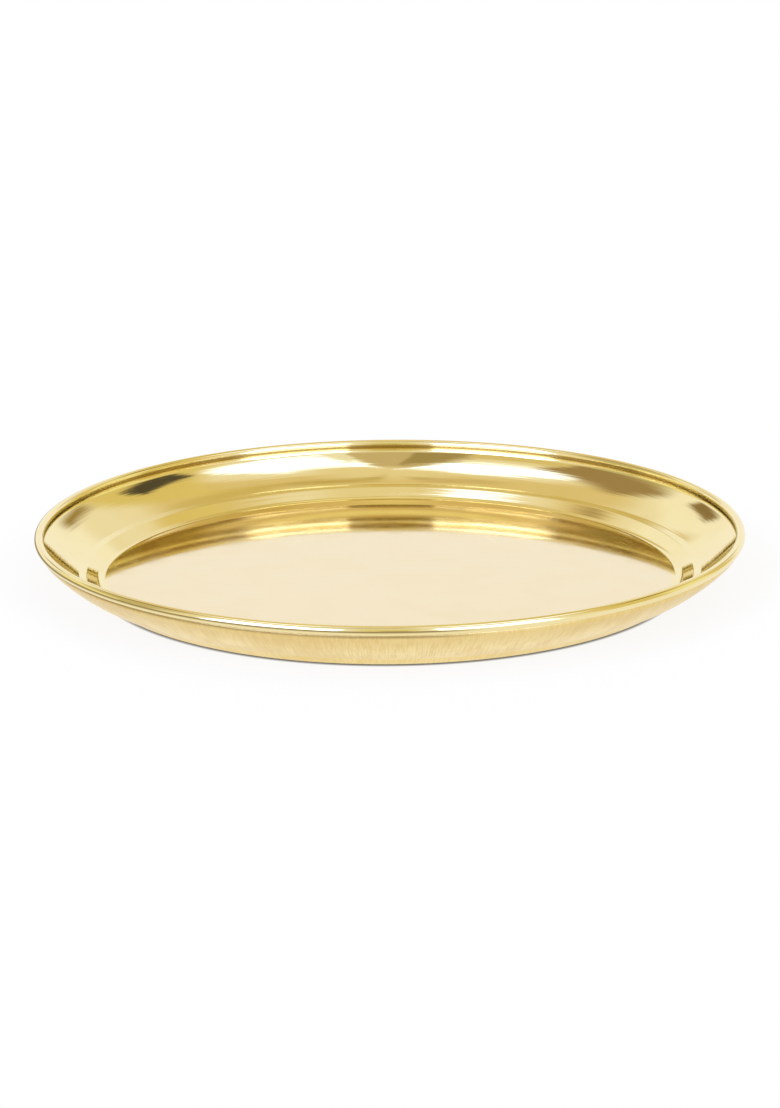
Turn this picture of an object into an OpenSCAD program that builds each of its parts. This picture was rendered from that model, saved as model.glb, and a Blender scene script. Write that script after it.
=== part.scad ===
// Round brass thali plate: one pressed sheet with a flat base, a low step with a narrow
// ledge round it and a flared, gently curved wall, its edge curled outward round a ring
// of wire to make a smooth bead.

/* [Rim] */
// Diameter over the rolled rim
rim_d = 230; // [160:1:360]
// Diameter of the wire inside the rolled rim
wire_d = 1.5; // [1:0.1:3]
// Room between the wire and the sheet curled round it
wire_clear = 0.05; // [0.02:0.01:0.15]
// Gap between the butted ends of the wire
wire_gap = 0.5; // [0.2:0.1:3]
// Inside radius of the neck, where the wall turns up into the rim
neck_r = 1.35; // [0.8:0.05:2.5]
// Angle below level at which the neck meets the rim
neck_angle = 44; // [20:1:60]
// Room between the edge of the curled sheet and the neck
curl_gap = 0.15; // [0.05:0.05:0.5]

/* [Dish] */
// Height from the base to the top of the rim
height = 18; // [15:0.5:30]
// Thickness of the sheet
sheet_t = 0.7; // [0.4:0.1:1.5]
// Distance from the edge of the flat base out to the edge of the rim
wall_run = 22; // [17:0.5:26]
// Outside radius of the corner between base and step
corner_r = 5; // [2:0.5:8]
// Slope of the low step round the base
step_angle = 37; // [28:1:50]
// Height of the step, up to the bend into the ledge
step_h = 3.3; // [2:0.1:5]
// Inside radius of the bend between step and ledge
shoulder_r = 0.5; // [0.3:0.1:2]
// Slope of the narrow ledge on top of the step
ledge_angle = 16; // [5:1:22]
// Width of the ledge
ledge_w = 2; // [0.5:0.1:3.5]
// Outside radius of the bend between ledge and wall
foot_r = 2.2; // [1.8:0.1:5]
// Outside radius of the gentle curve of the wall
wall_r = 45; // [40:1:150]

/* [Hidden] */
$fn = 180;

brass_sheet = [0.86, 0.72, 0.38];
brass_wire = [0.80, 0.64, 0.30];

// The rim is the wire, its clearance and one thickness of sheet all round
curl_r = wire_d / 2 + wire_clear;
bead_r = curl_r + sheet_t;
bead_centre = [rim_d / 2 - bead_r, height - bead_r];
base_r = rim_d / 2 - wall_run;

// The neck bends the other way from the rim, so the two share a radius line
neck_out_r = neck_r + sheet_t;
neck_centre = bead_centre - (neck_out_r + curl_r) * [cos(neck_angle), sin(neck_angle)];

// The corner takes up no more than its share of the step's height
corner_share = 0.95;
corner_limit = step_h / (1 - cos(step_angle));
corner_out_r = min(corner_r, corner_share * corner_limit);
corner_centre = [base_r, corner_out_r];

// The step rises straight from the corner to the shoulder, which turns it into the ledge
base_angle = 270;
step_start = base_angle + step_angle;
step_foot = on_circle(corner_centre, corner_out_r, step_start);
step_rise = step_h - step_foot.y;
step_top = step_foot + step_rise * [1 / tan(step_angle), 1];
shoulder_start = 90 + step_angle;
shoulder_end = 90 + ledge_angle;
shoulder_centre = step_top - shoulder_r * [cos(shoulder_start), sin(shoulder_start)];
ledge_start = on_circle(shoulder_centre, shoulder_r, shoulder_end);
ledge_end = ledge_start + ledge_w * [cos(ledge_angle), sin(ledge_angle)];

// The wall's arc runs on smoothly from the bend at its foot and into the neck
foot_start = base_angle + ledge_angle;
foot_centre = ledge_end - foot_r * [cos(foot_start), sin(foot_start)];
wall_centre = circles_meet(foot_centre, wall_r - foot_r, neck_centre, wall_r - neck_out_r);
wall_start = direction(wall_centre, foot_centre);
wall_end = direction(wall_centre, neck_centre);
neck_end = 360 + neck_angle;

// The curl runs over the top of the wire and stops short of the neck by its gap
neck_to_bead = neck_out_r + curl_r;
curl_open = acos((pow(bead_r, 2) + pow(neck_to_bead, 2) - pow(neck_out_r + curl_gap, 2))
    / (2 * bead_r * neck_to_bead));
curl_start = neck_angle + 180;
curl_end = neck_angle + curl_open - 180;

// Furthest that a chord of the section may lie from its arc
arc_tolerance = 0.003;

wire_gap_angle = wire_gap / bead_centre.x * 180 / PI;
back_angle = 90;

// Point where two circles cross, on the left of the line from the first centre to the second
function circles_meet(a, r_a, b, r_b) =
    let (
        span = norm(b - a),
        along = (b - a) / span,
        foot = (pow(span, 2) + pow(r_a, 2) - pow(r_b, 2)) / (2 * span),
        rise = sqrt(max(0, pow(r_a, 2) - pow(foot, 2)))
    )
    a + foot * along + rise * [-along.y, along.x];

// Direction from one point to another, in degrees from 0 to 360
function direction(a, b) = (atan2(b.y - a.y, b.x - a.x) + 360) % 360;

// Point on a circle
function on_circle(centre, r, angle) = centre + r * [cos(angle), sin(angle)];

// Points along an arc, without the first, at which the stretch before it ends
function arc_on(centre, r, from, to) =
    let (
        widest_step = 2 * acos(1 - arc_tolerance / r),
        steps = ceil(abs(to - from) / widest_step)
    )
    [for (i = [1 : steps]) on_circle(centre, r, from + (to - from) * i / steps)];

// Under side of the sheet, from the axis to the edge that is curled round the wire
under_side = concat(
    [[0, 0], [base_r, 0]],
    arc_on(corner_centre, corner_out_r, base_angle, step_start),
    [step_top],
    arc_on(shoulder_centre, shoulder_r, shoulder_start, shoulder_end),
    [ledge_end],
    arc_on(foot_centre, foot_r, foot_start, wall_start),
    arc_on(wall_centre, wall_r, wall_start, wall_end),
    arc_on(neck_centre, neck_out_r, wall_end, neck_end),
    arc_on(bead_centre, curl_r, curl_start, curl_end)
);

// Upper side of the sheet, one thickness away, from that edge back to the axis
upper_side = concat(
    [on_circle(bead_centre, bead_r, curl_end)],
    arc_on(bead_centre, bead_r, curl_end, curl_start),
    arc_on(neck_centre, neck_r, neck_end, wall_end),
    arc_on(wall_centre, wall_r - sheet_t, wall_end, wall_start),
    arc_on(foot_centre, foot_r - sheet_t, wall_start, foot_start),
    [on_circle(shoulder_centre, shoulder_r + sheet_t, shoulder_end)],
    arc_on(shoulder_centre, shoulder_r + sheet_t, shoulder_end, shoulder_start),
    [on_circle(corner_centre, corner_out_r - sheet_t, step_start)],
    arc_on(corner_centre, corner_out_r - sheet_t, step_start, base_angle),
    [[0, sheet_t]]
);

// The plate itself, one sheet from base to rim
module dish() {
    color(brass_sheet)
        rotate_extrude()
            polygon(concat(under_side, upper_side));
}

// Ring of wire that stiffens the rim, its butted ends at the back
module rim_wire() {
    color(brass_wire)
        rotate_extrude(angle = 360 - wire_gap_angle, start = back_angle + wire_gap_angle / 2)
            translate(bead_centre)
                circle(d = wire_d);
}

dish();
rim_wire();
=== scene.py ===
import math

import bpy
import numpy as np
from mathutils import Matrix, Vector


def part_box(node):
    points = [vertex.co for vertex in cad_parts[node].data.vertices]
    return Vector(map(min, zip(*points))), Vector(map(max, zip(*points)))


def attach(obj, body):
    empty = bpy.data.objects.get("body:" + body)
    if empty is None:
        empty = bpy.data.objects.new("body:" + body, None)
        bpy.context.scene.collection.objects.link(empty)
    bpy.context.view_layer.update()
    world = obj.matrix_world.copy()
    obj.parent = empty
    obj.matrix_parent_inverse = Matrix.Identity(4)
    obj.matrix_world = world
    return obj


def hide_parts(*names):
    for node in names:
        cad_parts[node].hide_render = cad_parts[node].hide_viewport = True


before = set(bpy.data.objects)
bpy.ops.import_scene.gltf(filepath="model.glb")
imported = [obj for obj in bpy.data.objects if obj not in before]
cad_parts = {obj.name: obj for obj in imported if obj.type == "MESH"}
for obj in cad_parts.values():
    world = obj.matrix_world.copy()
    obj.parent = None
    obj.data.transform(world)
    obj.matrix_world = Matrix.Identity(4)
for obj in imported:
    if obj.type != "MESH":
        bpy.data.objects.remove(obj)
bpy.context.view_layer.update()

MM = 0.001

# Sizes of the sheet that the frame's boxes don't give
SHEET_T = 0.7 * MM
WIRE_CLEAR = 0.05 * MM
NECK_R = 1.35 * MM
NECK_ANGLE = 44
CURL_GAP = 0.15 * MM
WALL_RUN = 22 * MM
CORNER_R = 5 * MM
STEP_ANGLE = 37
STEP_H = 3.3 * MM
SHOULDER_R = 0.5 * MM
LEDGE_ANGLE = 16
LEDGE_W = 2 * MM
FOOT_R = 2.2 * MM
WALL_R = 45 * MM

# Directions from the bends' centres at which they begin and end
BASE = 270
STEP_START = BASE + STEP_ANGLE
SHOULDER_START = 90 + STEP_ANGLE
SHOULDER_END = 90 + LEDGE_ANGLE
FOOT_START = BASE + LEDGE_ANGLE

# Fineness of the turned mesh
AROUND = 400
CHORD = 0.002 * MM
FLOOR_RINGS = 12

# The photograph's camera, taken from the rim's outline, with its frame in pixels
PHOTO_H = 1108
FOCAL_PX = 2762
RIM_ROW = 526.0
RIM_MIDDLE = 1.5 * MM
CAMERA_DISTANCE = 0.9
CAMERA_ELEVATION = 15.36
CAMERA_ROLL = 0.41
SENSOR = 36

# In the materials below, colours are linear reflectance. A noise has its scale per metre, its
# detail and, where it isn't plain, its roughness. A span is where a soft change begins and ends.
NOISE_MIDDLE = 0.5
COLOUR_A, COLOUR_B, COLOUR_MIXED = 6, 7, 2

# Polished brass: the wall and rim, the paler floor, and where one gives way to the other
POLISHED = (0.89, 0.76, 0.40)
POLISHED_DEEP = (0.875, 0.735, 0.37)
POLISHED_FLOOR = (0.865, 0.73, 0.465)
POLISHED_FLOOR_DEEP = (0.85, 0.71, 0.435)
FLOOR_INSIDE_EDGE = 2.5 * MM
FLOOR_PAST_EDGE = 0.5 * MM
POLISH_CLOUD = (55.0, 3.0)
POLISH_CLOUD_SPAN = (0.35, 0.7)
POLISH_HAZE = (160.0, 4.0)
POLISH_HAZE_SPAN = (0.3, 0.75)
POLISH_ROUGHNESS = (0.05, 0.085)

# Polish marks that run round the plate, the coarse ones only on the wall, and waves in the sheet
MARK_DRIFT = 0.004
FINE_MARKS = (2600.0, 2.0)
FINE_DEPTH = 0.0008 * MM
COARSE_MARKS = (900.0, 1.0)
COARSE_DEPTH = 0.016 * MM
COARSE_FADE = 3 * MM
SHEET_WAVE = (38.0, 1.0)
WAVE_DEPTH = 0.03 * MM

# Painted shade: a darker crease in the neck, as depths below the rim's top and in from its edge
GROOVE_SHADE = (0.45, 0.37, 0.20)
GROOVE_BOTTOM = (3.2 * MM, 2.9 * MM)
GROOVE_TOP = (1.4 * MM, 1.8 * MM)

# Satin brass: the two tones of its brushing, and painted shade: a darker tone under the rim and a
# deeper, warmer one at the base
SATIN = (0.97, 0.79, 0.385)
SATIN_DEEP = (0.86, 0.645, 0.26)
SATIN_SHADE = (0.74, 0.53, 0.19)
SATIN_BASE_SHADE = (0.92, 0.68, 0.18)
SHADE_SHARE = 0.5
UNDER_RIM = (10.5 * MM, 5.5 * MM)
BASE_EDGE = (1 * MM, 7 * MM)
STREAKS = (230.0, 3.0, 0.65)
MOTTLE = (120.0, 4.0, 0.65)
SATIN_CLOUD = (22.0, 2.0)
STREAK_SHARE, MOTTLE_SHARE, CLOUD_SHARE = 0.65, 0.35, 0.4
BASE_GRAIN = 8.0
SATIN_SPAN = (0.40, 0.60)
SATIN_ROUGH_SPAN = (0.3, 0.7)
SATIN_ROUGHNESS = (0.38, 0.28)
SATIN_DEPTH = 0.03 * MM

# Drawn brass of the wire, with scratches along it
DRAWN = (0.84, 0.66, 0.32)
DRAWN_DEEP = (0.70, 0.52, 0.22)
SCRATCHES = (3000.0, 3.0)
SCRATCH_DRIFT = 0.02
SCRATCH_SPAN = (0.3, 0.7)
DRAWN_ROUGHNESS = (0.4, 0.28)
SCRATCH_DEPTH = 0.004 * MM

# Surroundings: a white tent with darker and brighter patches. Each patch has its span of azimuth
# from the front, to the right, its span of elevation, the width of its soft edge, its colour
# and how far its elevation climbs for each degree of azimuth. A later patch covers an earlier one.
TENT = (0.94, 0.90, 0.80)
TENT_PEAK = 8.0
PATCHES = {
    "crown": ((-200, 200), (78, 100), 8, (0.88, 0.80, 0.59), 0),
    "backdrop": ((126, 236), (-30, 30), 7, (1.03, 1.03, 1.04), 0.2),
    "ceiling": ((117, 235), (44, 79), 9, (0.80, 0.68, 0.41), 0),
    "ceiling_low": ((134, 199), (39, 55), 7, (0.69, 0.57, 0.26), -0.5),
    "ceiling_light": ((155, 202), (59, 69), 2, (0.98, 0.94, 0.58), 0),
    "left_corner": ((-167, -138), (72, 77), 5, (0.65, 0.53, 0.31), -0.35),
    "right_corner": ((137, 176), (72, 78), 9, (0.59, 0.46, 0.19), 0.26),
    "left_side": ((-129, -77), (-30, 44), 13, (0.62, 0.57, 0.34), 0),
    "left_low": ((-128, -93), (-40, 21), 2, (0.97, 0.92, 0.61), -0.4),
    "left_shade": ((-134, -94), (41, 57), 7, (0.38, 0.28, 0.15), 0.36),
    "right_side": ((70, 139), (-20, 55), 9, (0.80, 0.68, 0.31), 0.14),
    "right_low": ((97, 122), (-20, 30), 6, (0.95, 0.95, 0.62), 0),
    "right_card": ((105, 129), (41, 49), 2.5, (0.09, 0.08, 0.06), -0.39),
    "front_low": ((-62, 56), (-30, 26), 4, (1.1, 1.13, 1.3), 0),
    "left_strip": ((-60, -16), (-10, 11), 3, (2.6, 3.2, 5.6), 0),
    "right_strip": ((15, 53), (-10, 11), 3, (2.4, 2.9, 4.6), 0),
    "left_panel": ((-60, -16), (20, 44), 3, (4.4, 5.2, 8.0), 0),
    "right_panel": ((15, 53), (20, 45), 3, (3.8, 4.5, 6.5), 0),
    "left_sill": ((-95, -45), (54, 67), 4, (0.76, 0.65, 0.36), 0.34),
    "right_sill": ((36, 80), (57, 67), 4, (0.68, 0.61, 0.42), -0.25),
    "left_window": ((-116, -58), (66, 86.5), 4, (1.5, 1.75, 2.7), 0.34),
    "right_window": ((34, 102), (62.5, 81), 4, (1.5, 1.75, 2.7), -0.25),
    "front_light": ((-30, 45), (37, 76), 3, (0.95, 0.96, 0.96), 0.08),
    "front_gap": ((-12, 10), (-24, 54), 12, (0.80, 0.74, 0.44), -0.1),
    "front_dark": ((-3, 6), (-27, 8), 2, (0.35, 0.28, 0.13), -0.5),
    "front_shade": ((-60, 29), (69, 87), 3, (0.63, 0.53, 0.36), 0),
    "front_brown": ((-52, -17), (67, 83), 3.5, (0.40, 0.32, 0.16), 0.12),
    "right_wedge": ((140, 154), (20, 25), 6, (0.34, 0.23, 0.05), -0.58),
    "left_wedge": ((-153, -141), (19.5, 25.5), 3, (0.29, 0.21, 0.10), 0.56),
}

# The floor is lit by the surroundings, and shows mostly as plain white so that it stays pale, with
# a painted contact shadow, a dark line where the plate touches it. The metal finds it white beside
# the plate and to the right, and dim further off at the front and left: a painted dark reflection.
WHITE = (1.0, 1.0, 1.0)
FLOOR_SIZE = 12
FLOOR_ALBEDO = (0.9, 0.9, 0.9)
FLOOR_GLOW = 0.85
FLOOR_AWAY = (122 * MM, 150 * MM)
FLOOR_PAINTED_DIM = (0.28, 0.21, 0.09)
FLOOR_RIGHT = (0.35, 0.15)
CONTACT = 0.9 * MM
CONTACT_SAMPLES = 16


class Section:
    """Half section of the sheet in metres, as runs of points with their normals."""

    def __init__(self):
        rim_low, rim_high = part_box("dish")
        wire_low, wire_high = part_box("rim_wire")
        self.rim_r = (rim_high.x - rim_low.x) / 2
        self.height = rim_high.z
        self.curl_r = (wire_high.z - wire_low.z) / 2 + WIRE_CLEAR
        self.bead_r = self.curl_r + SHEET_T
        self.bead = np.array([self.rim_r - self.bead_r, self.height - self.bead_r])
        self.base_r = self.rim_r - WALL_RUN
        self.neck_out = NECK_R + SHEET_T
        reach = self.neck_out + self.curl_r
        self.neck = self.bead - reach * on_circle(NECK_ANGLE)
        self.corner = np.array([self.base_r, CORNER_R])
        step_foot = self.corner + CORNER_R * on_circle(STEP_START)
        step_run = (STEP_H - step_foot[1]) / math.sin(math.radians(STEP_ANGLE))
        step_top = step_foot + step_run * on_circle(STEP_ANGLE)
        self.shoulder = step_top - SHOULDER_R * on_circle(SHOULDER_START)
        ledge_start = self.shoulder + SHOULDER_R * on_circle(SHOULDER_END)
        ledge_end = ledge_start + LEDGE_W * on_circle(LEDGE_ANGLE)
        self.foot = ledge_end - FOOT_R * on_circle(FOOT_START)
        self.wall = circles_meet(self.foot, WALL_R - FOOT_R, self.neck, WALL_R - self.neck_out)
        self.wall_start = direction(self.wall, self.foot)
        self.wall_end = direction(self.wall, self.neck)
        edge = self.bead_r**2 + reach**2 - (self.neck_out + CURL_GAP) ** 2
        opening = math.degrees(math.acos(edge / (2 * self.bead_r * reach)))
        self.curl_start = NECK_ANGLE + 180
        self.curl_end = NECK_ANGLE + opening - 180

    def under_side(self):
        """Runs from the middle of the base out to the edge curled round the wire."""
        curl_tip = on_circle(self.curl_end)
        return [
            line((0, 0), (self.base_r, 0), FLOOR_RINGS),
            arc(self.corner, CORNER_R, BASE, STEP_START),
            arc(self.shoulder, SHOULDER_R, SHOULDER_START, SHOULDER_END, hollow=True),
            arc(self.foot, FOOT_R, FOOT_START, self.wall_start),
            arc(self.wall, WALL_R, self.wall_start, self.wall_end),
            arc(self.neck, self.neck_out, self.wall_end, 360 + NECK_ANGLE),
            arc(self.bead, self.curl_r, self.curl_start, self.curl_end, hollow=True),
            line(self.bead + self.curl_r * curl_tip, self.bead + self.bead_r * curl_tip, 1),
        ]

    def upper_side(self):
        """Runs from that edge over the rim and down to the middle of the floor."""
        return [
            arc(self.bead, self.bead_r, self.curl_end, self.curl_start),
            arc(self.neck, NECK_R, 360 + NECK_ANGLE, self.wall_end, hollow=True),
            arc(self.wall, WALL_R - SHEET_T, self.wall_end, self.wall_start, hollow=True),
            arc(self.foot, FOOT_R - SHEET_T, self.wall_start, FOOT_START, hollow=True),
            arc(self.shoulder, SHOULDER_R + SHEET_T, SHOULDER_END, SHOULDER_START),
            arc(self.corner, CORNER_R - SHEET_T, STEP_START, BASE, hollow=True),
            line((self.base_r, SHEET_T), (0, SHEET_T), FLOOR_RINGS),
        ]


def on_circle(angle):
    return np.array([math.cos(math.radians(angle)), math.sin(math.radians(angle))])


def direction(start, end):
    return math.degrees(math.atan2(end[1] - start[1], end[0] - start[0])) % 360


def circles_meet(a, r_a, b, r_b):
    """Point where two circles cross, on the left of the line from a to b."""
    span = np.linalg.norm(b - a)
    along = (b - a) / span
    foot = (span**2 + r_a**2 - r_b**2) / (2 * span)
    rise = math.sqrt(r_a**2 - foot**2)
    return a + foot * along + rise * np.array([-along[1], along[0]])


def arc(centre, r, start, end, hollow=False):
    """Points and normals along an arc, the normals towards its centre where it is hollow."""
    widest = math.degrees(2 * math.acos(1 - CHORD / r))
    steps = math.ceil(abs(end - start) / widest)
    turns = [on_circle(start + (end - start) * i / steps) for i in range(steps + 1)]
    sign = -1 if hollow else 1
    return [(centre + r * turn, sign * turn) for turn in turns]


def line(start, end, steps):
    """Points and normals along a straight stretch, the normals on its right."""
    start, end = np.array(start, float), np.array(end, float)
    along = (end - start) / np.linalg.norm(end - start)
    normal = np.array([along[1], -along[0]])
    return [(start + (end - start) * i / steps, normal) for i in range(steps + 1)]


def joined(runs):
    """Points of all the runs, and the bands between them as two normals and a material index.

    A straight stretch joins the end of a run to the start of the next where they lie apart.
    """
    points, bands = [runs[0][0][0][0]], []
    for run, material in runs:
        start, normal = run[0]
        if np.linalg.norm(start - points[-1]) > CHORD:
            points.append(start)
            bands.append((normal, normal, material))
        for (_, n), (q, m) in zip(run, run[1:]):
            points.append(q)
            bands.append((n, m, material))
    return points, bands


def turned_mesh(name, runs):
    """Mesh of revolution of runs of points with material indices, with the section's own normals."""
    points, bands = joined(runs)
    on_axis = [r < CHORD for r, _ in points]
    angles = [2 * math.pi * k / AROUND for k in range(AROUND)]
    cos, sin = np.cos(angles), np.sin(angles)
    vertices, first = [], []
    for (r, z), middle in zip(points, on_axis):
        first.append(len(vertices))
        vertices += [(0.0, 0.0, z)] if middle else [(r * c, r * s, z) for c, s in zip(cos, sin)]
    faces, normals, materials = [], [], []
    for i, (n, m, material) in enumerate(bands):
        for k in range(AROUND):
            j = (k + 1) % AROUND
            corners = [(i, j, n), (i + 1, j, m), (i + 1, k, m), (i, k, n)]
            if on_axis[i]:
                corners.pop(0)
            elif on_axis[i + 1]:
                corners.pop(1)
            faces.append([first[row] + (0 if on_axis[row] else col) for row, col, _ in corners])
            normals += [(w[0] * cos[col], w[0] * sin[col], w[1]) for _, col, w in corners]
            materials.append(material)
    mesh = bpy.data.meshes.new(name)
    mesh.from_pydata(vertices, [], faces)
    mesh.polygons.foreach_set("use_smooth", [True] * len(faces))
    mesh.polygons.foreach_set("material_index", materials)
    mesh.normals_split_custom_set(normals)
    mesh.update()
    return mesh


class Nodes:
    """Short way to add and link shader nodes."""

    def __init__(self, tree):
        self.tree = tree
        tree.nodes.clear()

    def add(self, kind, **settings):
        node = self.tree.nodes.new(kind)
        for key, value in settings.items():
            setattr(node, key, value)
        return node

    def link(self, source, target):
        self.tree.links.new(source, target)

    def put(self, socket, value):
        if isinstance(value, bpy.types.NodeSocket):
            self.link(value, socket)
        else:
            socket.default_value = value

    def math(self, operation, *values):
        node = self.add("ShaderNodeMath", operation=operation)
        for socket, value in zip(node.inputs, values):
            self.put(socket, value)
        return node.outputs[0]

    def smooth(self, value, low, high, to_low=0.0, to_high=1.0):
        node = self.add("ShaderNodeMapRange", interpolation_type="SMOOTHSTEP")
        for socket, given in zip(node.inputs, (value, low, high, to_low, to_high)):
            self.put(socket, given)
        return node.outputs[0]

    def mix(self, factor, a, b):
        node = self.add("ShaderNodeMix", data_type="RGBA")
        self.put(node.inputs["Factor"], factor)
        self.put(node.inputs[COLOUR_A], a)
        self.put(node.inputs[COLOUR_B], b)
        return node.outputs[COLOUR_MIXED]

    def shaders(self, factor, a, b):
        node = self.add("ShaderNodeMixShader")
        for socket, source in zip(node.inputs, (factor, a.outputs[0], b.outputs[0])):
            self.link(source, socket)
        return node

    def noise(self, vector, scale, detail=2.0, roughness=0.5):
        node = self.add("ShaderNodeTexNoise")
        self.put(node.inputs["Vector"], vector)
        self.put(node.inputs["Scale"], scale)
        self.put(node.inputs["Detail"], detail)
        self.put(node.inputs["Roughness"], roughness)
        return node.outputs["Fac"]

    def combine(self, x, y, z):
        node = self.add("ShaderNodeCombineXYZ")
        for socket, value in zip(node.inputs, (x, y, z)):
            self.put(socket, value)
        return node.outputs[0]

    def bump(self, height, distance, normal=None):
        node = self.add("ShaderNodeBump")
        node.inputs["Strength"].default_value = 1.0
        node.inputs["Distance"].default_value = distance
        self.put(node.inputs["Height"], height)
        if normal is not None:
            self.put(node.inputs["Normal"], normal)
        return node.outputs[0]


def rgba(colour):
    return (*colour, 1.0)


def metal(name):
    """New metal material: its nodes, its shader and the object's own coordinates."""
    material = bpy.data.materials.new(name)
    material.use_nodes = True
    nodes = Nodes(material.node_tree)
    output = nodes.add("ShaderNodeOutputMaterial")
    shader = nodes.add("ShaderNodeBsdfPrincipled")
    shader.inputs["Metallic"].default_value = 1.0
    nodes.link(shader.outputs[0], output.inputs["Surface"])
    place = nodes.add("ShaderNodeTexCoord").outputs["Object"]
    return material, nodes, shader, place


def turned_place(nodes, place):
    """Coordinates that run round the axis, up it and out from it, with no seam."""
    split = nodes.add("ShaderNodeSeparateXYZ")
    nodes.link(place, split.inputs[0])
    x, y, z = split.outputs
    square = nodes.math("ADD", nodes.math("MULTIPLY", x, x), nodes.math("MULTIPLY", y, y))
    radius = nodes.math("SQRT", square)
    safe = nodes.math("MAXIMUM", radius, CHORD)
    return nodes.math("DIVIDE", x, safe), nodes.math("DIVIDE", y, safe), z, radius


def ring_place(nodes, turned, drift):
    """Coordinates for marks that run round the axis and change only slowly along their way."""
    around_x, around_y, z, radius = turned
    x = nodes.math("MULTIPLY", around_x, drift)
    y = nodes.math("MULTIPLY", around_y, drift)
    return nodes.combine(x, y, nodes.math("ADD", radius, z))


def polished_brass(section):
    """Mirror-polished brass with a faint wave in the sheet, fine marks that run round it and painted
    shade in the neck's crease.
    """
    material, nodes, shader, place = metal("brass_polished")
    turned = turned_place(nodes, place)
    _, _, z, radius = turned
    shade = nodes.smooth(nodes.noise(place, *POLISH_CLOUD), *POLISH_CLOUD_SPAN)
    wall = nodes.mix(shade, rgba(POLISHED), rgba(POLISHED_DEEP))
    floor = nodes.mix(shade, rgba(POLISHED_FLOOR), rgba(POLISHED_FLOOR_DEEP))
    edge = section.base_r - FLOOR_INSIDE_EDGE, section.base_r + FLOOR_PAST_EDGE
    bright = nodes.mix(nodes.smooth(radius, *edge), floor, wall)
    # Painted shade in the neck's crease: a band below the rim's top and inside its edge turns darker
    from_bottom = nodes.smooth(z, *[section.height - depth for depth in GROOVE_BOTTOM])
    to_top = nodes.smooth(z, *[section.height - depth for depth in GROOVE_TOP])
    inside_edge = nodes.smooth(radius, *[section.rim_r - depth for depth in GROOVE_TOP])
    groove_shade = nodes.math("MULTIPLY", nodes.math("MULTIPLY", from_bottom, to_top), inside_edge)
    nodes.link(nodes.mix(groove_shade, bright, rgba(GROOVE_SHADE)), shader.inputs["Base Color"])
    haze = nodes.noise(place, *POLISH_HAZE)
    nodes.link(nodes.smooth(haze, *POLISH_HAZE_SPAN, *POLISH_ROUGHNESS), shader.inputs["Roughness"])
    rings = ring_place(nodes, turned, MARK_DRIFT)
    fine = nodes.bump(nodes.noise(rings, *FINE_MARKS), FINE_DEPTH)
    on_wall = nodes.smooth(radius, section.base_r, section.base_r + COARSE_FADE)
    coarse = nodes.math("MULTIPLY", nodes.noise(rings, *COARSE_MARKS), on_wall)
    marks = nodes.bump(coarse, COARSE_DEPTH, fine)
    wave = nodes.bump(nodes.noise(place, *SHEET_WAVE), WAVE_DEPTH, marks)
    nodes.link(wave, shader.inputs["Normal"])
    return material


def satin_brass(section):
    """Brushed brass outside: short streaks up the wall, a mottle, and painted shade: deeper tone under
    the rim and at the base.
    """
    material, nodes, shader, place = metal("brass_satin")
    around_x, around_y, z, radius = turned_place(nodes, place)
    on_base = nodes.math("MULTIPLY", nodes.math("MINIMUM", radius, section.base_r), BASE_GRAIN)
    streak_place = nodes.combine(around_x, around_y, nodes.math("ADD", z, on_base))
    streaks = nodes.noise(streak_place, *STREAKS)
    mottle = nodes.noise(place, *MOTTLE)
    cloud = nodes.math("SUBTRACT", nodes.noise(place, *SATIN_CLOUD), NOISE_MIDDLE)
    streak_part = nodes.math("MULTIPLY", streaks, STREAK_SHARE)
    brushing = nodes.math("ADD", streak_part, nodes.math("MULTIPLY", mottle, MOTTLE_SHARE))
    tone = nodes.math("ADD", brushing, nodes.math("MULTIPLY", cloud, CLOUD_SHARE))
    brushed = nodes.mix(nodes.smooth(tone, *SATIN_SPAN), rgba(SATIN_DEEP), rgba(SATIN))
    # Painted shade: the wall turns part way to a darker tone under the rim and to a deeper, warmer one
    # at the base
    high = nodes.smooth(z, *[section.height - depth for depth in UNDER_RIM], 0.0, SHADE_SHARE)
    low = nodes.smooth(z, *BASE_EDGE, SHADE_SHARE, 0.0)
    shaded_under_rim = nodes.mix(high, brushed, rgba(SATIN_SHADE))
    nodes.link(nodes.mix(low, shaded_under_rim, rgba(SATIN_BASE_SHADE)), shader.inputs["Base Color"])
    nodes.link(nodes.smooth(tone, *SATIN_ROUGH_SPAN, *SATIN_ROUGHNESS), shader.inputs["Roughness"])
    relief = nodes.bump(streaks, SATIN_DEPTH)
    nodes.link(nodes.bump(mottle, SATIN_DEPTH, relief), shader.inputs["Normal"])
    return material


def drawn_brass():
    """Drawn wire: dull brass with scratches along its length."""
    material, nodes, shader, place = metal("brass_drawn")
    lengthwise = ring_place(nodes, turned_place(nodes, place), SCRATCH_DRIFT)
    scratches = nodes.noise(lengthwise, *SCRATCHES)
    nodes.link(nodes.mix(scratches, rgba(DRAWN_DEEP), rgba(DRAWN)), shader.inputs["Base Color"])
    nodes.link(nodes.smooth(scratches, *SCRATCH_SPAN, *DRAWN_ROUGHNESS), shader.inputs["Roughness"])
    nodes.link(nodes.bump(scratches, SCRATCH_DEPTH), shader.inputs["Normal"])
    return material


def make_dish():
    """The plate's sheet, satin below and polished above and round the rim."""
    section = Section()
    satin, polished = 0, 1
    runs = [(run, satin) for run in section.under_side()]
    runs += [(run, polished) for run in section.upper_side()]
    mesh = turned_mesh("spun_dish", runs)
    mesh.materials.append(satin_brass(section))
    mesh.materials.append(polished_brass(section))
    dish = bpy.data.objects.new("spun_dish", mesh)
    bpy.context.scene.collection.objects.link(dish)
    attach(dish, "root")
    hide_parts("dish")


def finish_wire():
    """The wire keeps its own solid and gets the drawn finish."""
    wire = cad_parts["rim_wire"]
    wire.data.materials.clear()
    wire.data.materials.append(drawn_brass())


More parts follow.
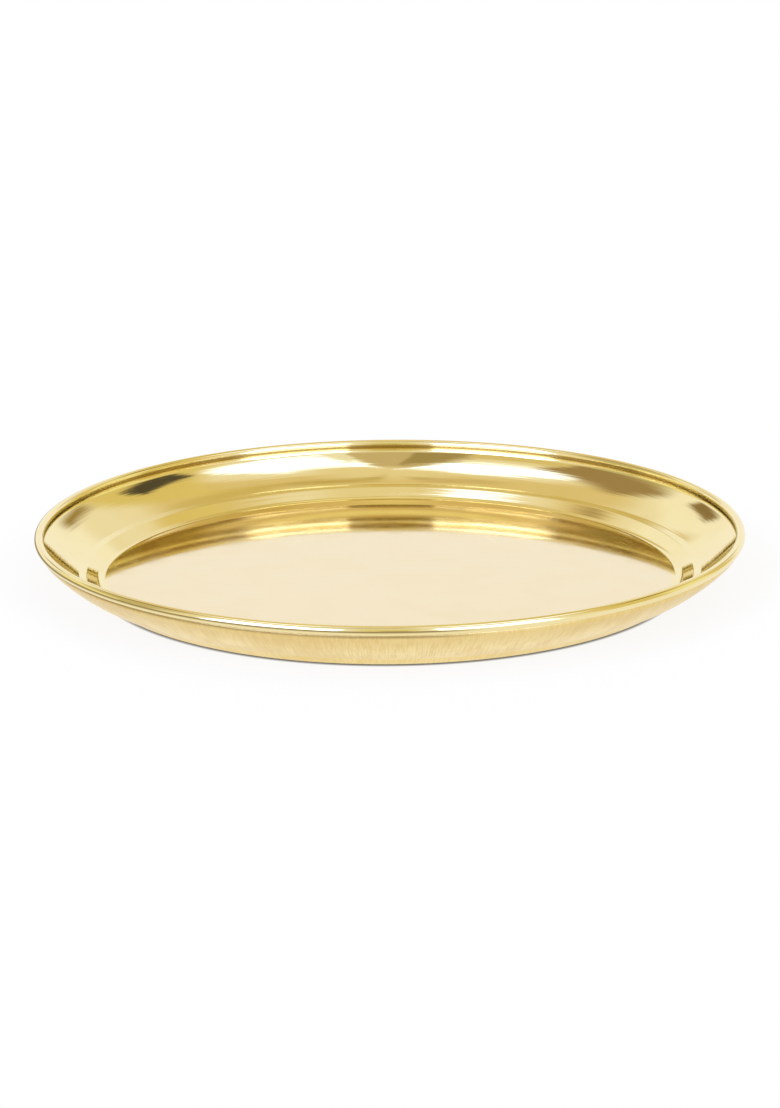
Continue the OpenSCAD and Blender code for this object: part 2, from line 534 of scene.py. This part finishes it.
def floor_white():
    """White that keeps a soft shadow, with a painted contact shadow, a painted dim reflection in the
    metal away from the plate, and clear from below.
    """
    material = bpy.data.materials.new("floor_white")
    material.use_nodes = True
    nodes = Nodes(material.node_tree)
    path = nodes.add("ShaderNodeLightPath").outputs
    place = nodes.add("ShaderNodeTexCoord").outputs["Object"]
    around_x, _, _, radius = turned_place(nodes, place)
    not_right = nodes.smooth(around_x, *FLOOR_RIGHT)
    # Painted dark reflection: to the metal, the floor goes dim away from the plate except to the right
    away = nodes.math("MULTIPLY", nodes.smooth(radius, *FLOOR_AWAY), not_right)
    mirrored = nodes.mix(away, rgba(WHITE), rgba(FLOOR_PAINTED_DIM))
    # Painted contact shadow: an occlusion node darkens the white the camera sees where the plate meets
    # the floor
    painted_contact_shadow = nodes.add("ShaderNodeAmbientOcclusion", samples=CONTACT_SAMPLES)
    painted_contact_shadow.inputs["Distance"].default_value = CONTACT
    shown = nodes.mix(path["Is Camera Ray"], mirrored, painted_contact_shadow.outputs["Color"])
    glow = nodes.add("ShaderNodeEmission")
    nodes.link(shown, glow.inputs["Color"])
    diffuse = nodes.add("ShaderNodeBsdfDiffuse")
    diffuse.inputs["Color"].default_value = rgba(FLOOR_ALBEDO)
    mirrored_in = nodes.math("MAXIMUM", path["Is Glossy Ray"], path["Is Transmission Ray"])
    seen = nodes.math("MAXIMUM", path["Is Camera Ray"], mirrored_in)
    white = nodes.shaders(nodes.math("MULTIPLY", seen, FLOOR_GLOW), diffuse, glow)
    below = nodes.add("ShaderNodeNewGeometry").outputs["Backfacing"]
    sided = nodes.shaders(below, white, nodes.add("ShaderNodeBsdfTransparent"))
    nodes.link(sided.outputs[0], nodes.add("ShaderNodeOutputMaterial").inputs["Surface"])
    return material


def make_floor():
    half = FLOOR_SIZE / 2
    corners = [(-half, -half, 0), (half, -half, 0), (half, half, 0), (-half, half, 0)]
    mesh = bpy.data.meshes.new("floor")
    mesh.from_pydata(corners, [], [(0, 1, 2, 3)])
    mesh.materials.append(floor_white())
    floor = bpy.data.objects.new("floor", mesh)
    bpy.context.scene.collection.objects.link(floor)


def patch_mask(nodes, azimuth, elevation, span, rise, soft, climb):
    """Soft-edged mask of a patch of the surroundings."""
    middle, half = (span[0] + span[1]) / 2, (span[1] - span[0]) / 2
    aside = nodes.math("WRAP", nodes.math("SUBTRACT", azimuth, middle), 180.0, -180.0)
    level = nodes.math("SUBTRACT", elevation, nodes.math("MULTIPLY", aside, climb))
    across = nodes.smooth(nodes.math("ABSOLUTE", aside), half + soft / 2, half - soft / 2)
    above = nodes.smooth(level, rise[0] - soft / 2, rise[0] + soft / 2)
    below = nodes.smooth(level, rise[1] + soft / 2, rise[1] - soft / 2)
    return nodes.math("MULTIPLY", across, nodes.math("MULTIPLY", above, below))


def make_surroundings():
    """World: white to the camera, and the tent with its patches to everything else."""
    world = bpy.data.worlds.new("studio")
    bpy.context.scene.world = world
    world.use_nodes = True
    nodes = Nodes(world.node_tree)
    split = nodes.add("ShaderNodeSeparateXYZ")
    nodes.link(nodes.add("ShaderNodeTexCoord").outputs["Generated"], split.inputs[0])
    x, y, z = split.outputs
    azimuth = nodes.math("DEGREES", nodes.math("ARCTAN2", x, nodes.math("MULTIPLY", y, -1.0)))
    elevation = nodes.math("DEGREES", nodes.math("ARCSINE", z))
    colour = rgba([c / TENT_PEAK for c in TENT])
    for span, rise, soft, paint, climb in PATCHES.values():
        mask = patch_mask(nodes, azimuth, elevation, span, rise, soft, climb)
        colour = nodes.mix(mask, colour, rgba([c / TENT_PEAK for c in paint]))
    tent = nodes.add("ShaderNodeBackground")
    nodes.link(colour, tent.inputs["Color"])
    tent.inputs["Strength"].default_value = TENT_PEAK
    white = nodes.add("ShaderNodeBackground")
    white.inputs["Color"].default_value = rgba(WHITE)
    to_camera = nodes.add("ShaderNodeLightPath").outputs["Is Camera Ray"]
    shown = nodes.shaders(to_camera, tent, white)
    nodes.link(shown.outputs[0], nodes.add("ShaderNodeOutputWorld").inputs["Surface"])


def make_camera():
    """The photograph's view: the lens axis passes below the middle of the rim."""
    data = bpy.data.cameras.new("camera")
    data.sensor_fit = "AUTO"
    data.sensor_width = SENSOR
    data.lens = FOCAL_PX * SENSOR / PHOTO_H
    elevation = math.radians(CAMERA_ELEVATION)
    rim_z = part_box("dish")[1].z - RIM_MIDDLE
    pitch = elevation + math.atan((PHOTO_H / 2 - RIM_ROW) / FOCAL_PX)
    back, up = CAMERA_DISTANCE * math.cos(elevation), CAMERA_DISTANCE * math.sin(elevation)
    place = Matrix.Translation(Vector((0, -back, rim_z + up)))
    tilt = Matrix.Rotation(math.pi / 2 - pitch, 4, "X")
    roll = Matrix.Rotation(math.radians(-CAMERA_ROLL), 4, "Z")
    camera = bpy.data.objects.new("camera", data)
    camera.matrix_world = place @ tilt @ roll
    bpy.context.scene.collection.objects.link(camera)
    bpy.context.scene.camera = camera


bpy.context.scene.view_settings.view_transform = "Standard"
make_camera()
make_dish()
finish_wire()
make_floor()
make_surroundings()
